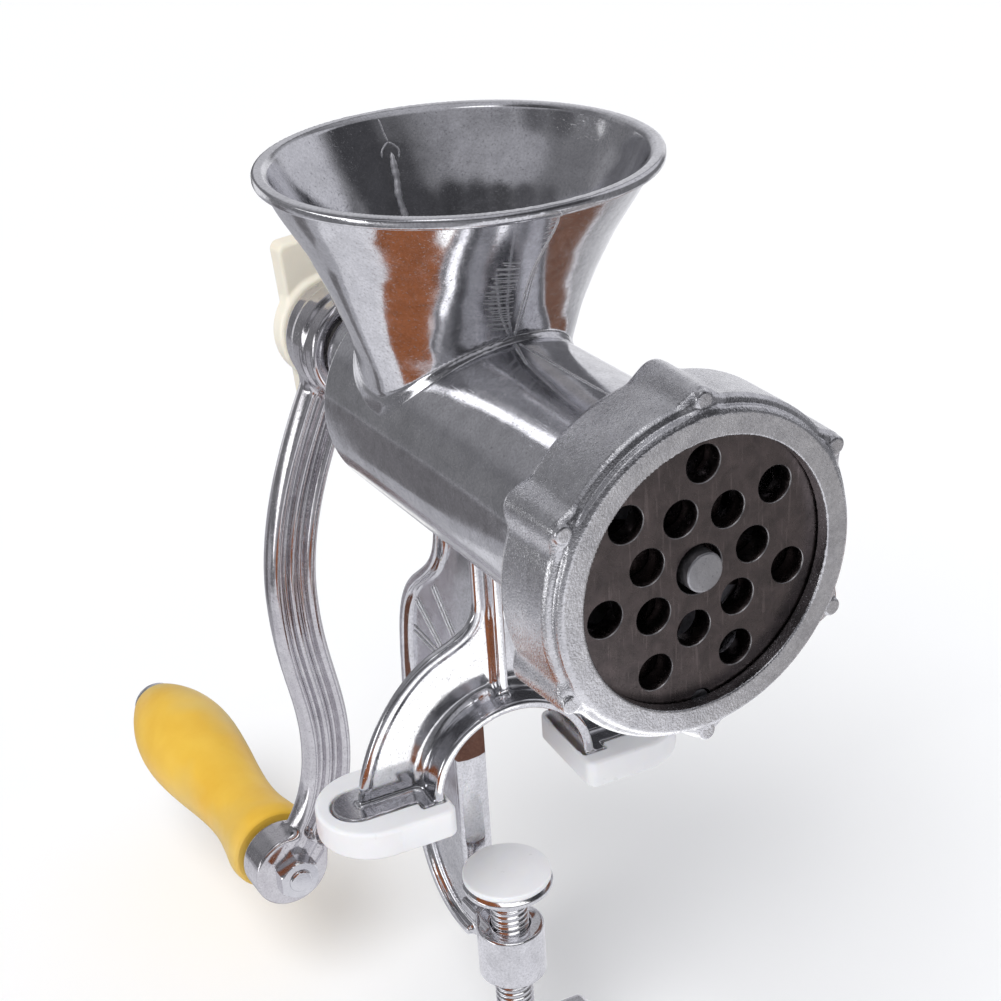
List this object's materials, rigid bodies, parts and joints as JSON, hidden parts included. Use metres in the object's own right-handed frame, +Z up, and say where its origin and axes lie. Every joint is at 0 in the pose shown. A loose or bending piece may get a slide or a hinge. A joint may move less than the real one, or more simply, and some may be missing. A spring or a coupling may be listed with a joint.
{
  "type": "hand crank meat grinder",
  "caption": "Table-clamp hand grinder with a round feed hopper, a worm turned by a rear crank, and a perforated outlet plate held by a lugged ring nut.",
  "frame": {"origin": "on the table top, at the table's rear edge, in the middle of the clamp's width", "axes": "+X to the right seen from the outlet, +Y from the outlet to the crank along the barrel, +Z up out of the table"},
  "size_m": [0.1144, 0.3095, 0.3076],
  "materials": {
    "cast_housing": "cast and tumbled bright, soft mirror with fine ripples",
    "cast_ring": "cast, satin, slightly grainy",
    "cast_crank": "cast and tumbled bright",
    "cast_worm": "cast, satin",
    "tool_steel": "ground dark steel with fine scratches",
    "steel_pin": "turned steel",
    "plated_steel": "bright plated",
    "white_plastic": "moulded, softly glossy",
    "bush_plastic": "moulded, matte",
    "ivory_plastic": "moulded, softly glossy",
    "yellow_plastic": "moulded, mottled with wear"
  },
  "bodies": {
    "housing": {"barrel": "cast_housing", "hopper": "cast_housing", "leg_arch": "cast_housing", "clamp_frame": "cast_housing", "left_foot_pad": "white_plastic", "right_foot_pad": "white_plastic", "plate_key": "steel_pin", "rear_bush": "bush_plastic"},
    "crank": {"worm": "cast_worm", "drive_stud": "steel_pin", "cutter": "tool_steel", "thrust_washer": "bush_plastic", "crank_arm": "cast_crank", "grip_bolt": "plated_steel", "grip_washer": "plated_steel", "grip_nut": "plated_steel"},
    "grip": {"grip": "yellow_plastic"},
    "knob_carrier": {"knob_washer": "plated_steel"},
    "thumb_knob": {"thumb_knob": "ivory_plastic", "knob_stud": "plated_steel"},
    "plate": {"perforated_plate": "tool_steel"},
    "ring": {"ring_nut": "cast_ring"},
    "clamp_pad": {"clamp_pad": "cast_housing", "clamp_pad_cap": "white_plastic"},
    "clamp_screw": {"clamp_screw": "plated_steel", "clamp_wing": "cast_housing", "wing_pin": "steel_pin"}
  },
  "joints": [
    {"name": "crank_turn", "type": "hinge", "parent": "housing", "child": "crank", "pos_m": [0, 0, 0.117], "axis": [0, 1, 0], "continuous": true},
    {"name": "grip_spin", "type": "hinge", "parent": "crank", "child": "grip", "pos_m": [-0.04, 0.12, -0.063], "axis": [0, 1, 0], "continuous": true},
    {"name": "knob_slide", "type": "slide", "parent": "crank", "child": "knob_carrier", "axis": [0, 1, 0], "range_m": [0, 0.015]},
    {"name": "thumb_turn", "type": "hinge", "parent": "knob_carrier", "child": "thumb_knob", "pos_m": [0, 0.072, 0.117], "axis": [0, 1, 0], "range_deg": [0, 4320]},
    {"name": "plate_slide", "type": "slide", "parent": "housing", "child": "plate", "axis": [0, -1, 0], "range_m": [0, 0.012]},
    {"name": "ring_turn", "type": "hinge", "parent": "plate", "child": "ring", "pos_m": [0, -0.118, 0.117], "axis": [0, -1, 0], "range_deg": [0, 1440]},
    {"name": "clamp_slide", "type": "slide", "parent": "housing", "child": "clamp_pad", "axis": [0, 0, 1], "range_m": [-0.009, 0.02]},
    {"name": "clamp_turn", "type": "hinge", "parent": "clamp_pad", "child": "clamp_screw", "pos_m": [0, -0.017, -0.05], "axis": [0, 0, 1], "range_deg": [-1620, 3600]}
  ],
  "couplings": [
    {"joint": "knob_slide", "follows": "thumb_turn", "m_per_rad": 0.00019894},
    {"joint": "plate_slide", "follows": "ring_turn", "m_per_rad": 0.00047746},
    {"joint": "clamp_slide", "follows": "clamp_turn", "m_per_rad": 0.00031831}
  ]
}
